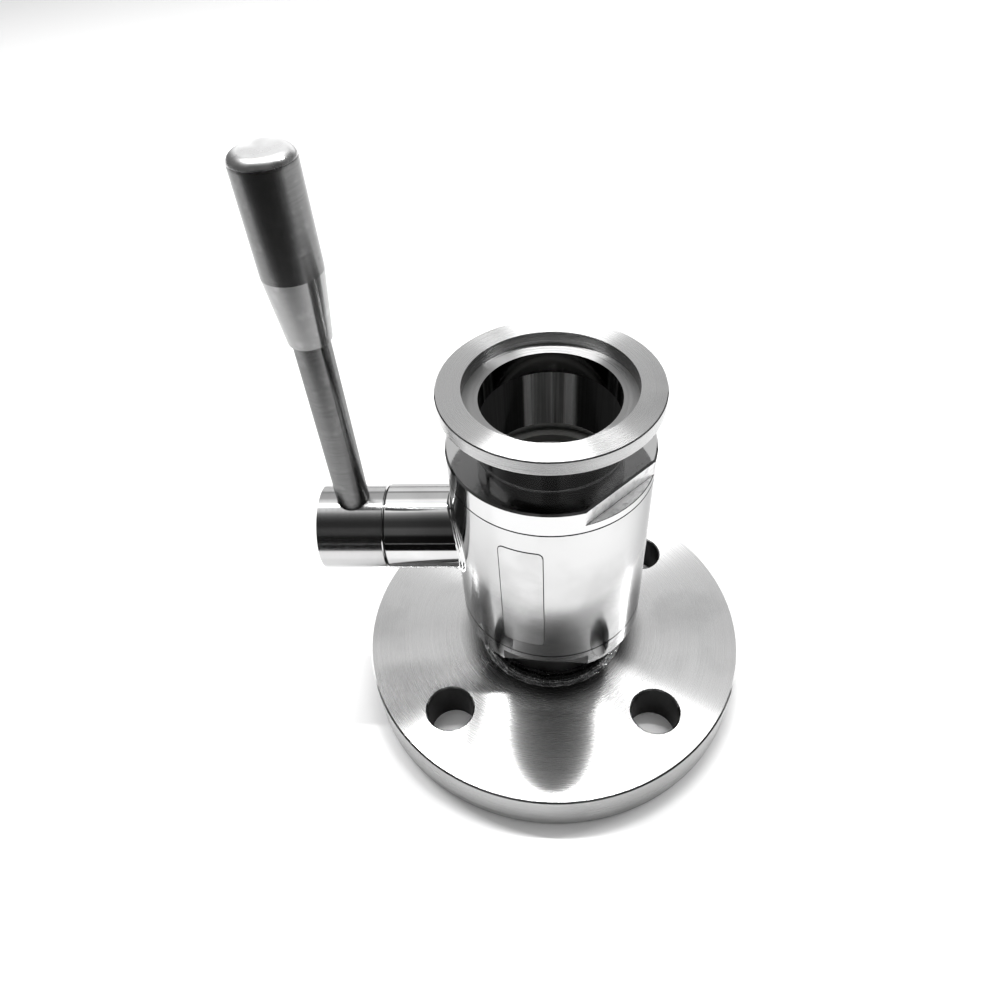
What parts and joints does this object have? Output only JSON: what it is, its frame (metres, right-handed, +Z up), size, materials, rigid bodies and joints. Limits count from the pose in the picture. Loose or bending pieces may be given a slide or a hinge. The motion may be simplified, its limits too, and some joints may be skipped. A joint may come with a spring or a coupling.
{
  "type": "flanged ball valve",
  "caption": "Hand-turned ball valve with a drilled plate flange below, a quick-coupling rim above and a lever on a side stem.",
  "frame": {"origin": "centre of the mounting flange's underside", "axes": "+Z up the bore towards the coupling rim, -X along the side stem towards the lever; -Y is the side that the open lever swings to when the valve is closed"},
  "size_m": [0.1563, 0.15, 0.2138],
  "materials": {
    "turned_steel": "fine concentric turning marks, stainless steel",
    "polished_steel": "mirror polished stainless steel",
    "satin_steel": "finely turned, satin stainless steel",
    "weld_steel": "rough rippled weld bead",
    "inner_steel": "ground and polished stainless steel",
    "seat_plastic": "white fluoropolymer, smooth",
    "seal_rubber": "black sealing rubber"
  },
  "bodies": {
    "valve": {"mounting_flange": "turned_steel", "coupling_ferrule": "turned_steel", "body_shell": "polished_steel", "stem_housing": "polished_steel", "housing_weld": "polished_steel", "stub_pipe": "satin_steel", "neck_pipe": "satin_steel", "lower_end_cap": "satin_steel", "upper_end_cap": "satin_steel", "flange_weld": "weld_steel", "flange_inner_weld": "weld_steel", "upper_seat": "seat_plastic", "lower_seat": "seat_plastic", "thrust_washer": "seat_plastic", "gland_bush": "seat_plastic", "upper_cap_oring": "seal_rubber", "lower_cap_oring": "seal_rubber"},
    "lever": {"stem": "inner_steel", "stem_orings": "seal_rubber", "stop_pin": "inner_steel", "lever_hub": "satin_steel", "lever_rod": "satin_steel", "lever_grip": "satin_steel"},
    "ball": {"ball": "inner_steel"}
  },
  "joints": [
    {"name": "lever_turn", "type": "hinge", "parent": "valve", "child": "lever", "pos_m": [0, 0, 0.0794], "axis": [1, 0, 0], "range_deg": [0, 90]},
    {"name": "ball_turn", "type": "hinge", "parent": "valve", "child": "ball", "pos_m": [0, 0, 0.0794], "axis": [1, 0, 0], "range_deg": [0, 90]}
  ],
  "couplings": [
    {"joint": "ball_turn", "follows": "lever_turn", "ratio": 1}
  ]
}
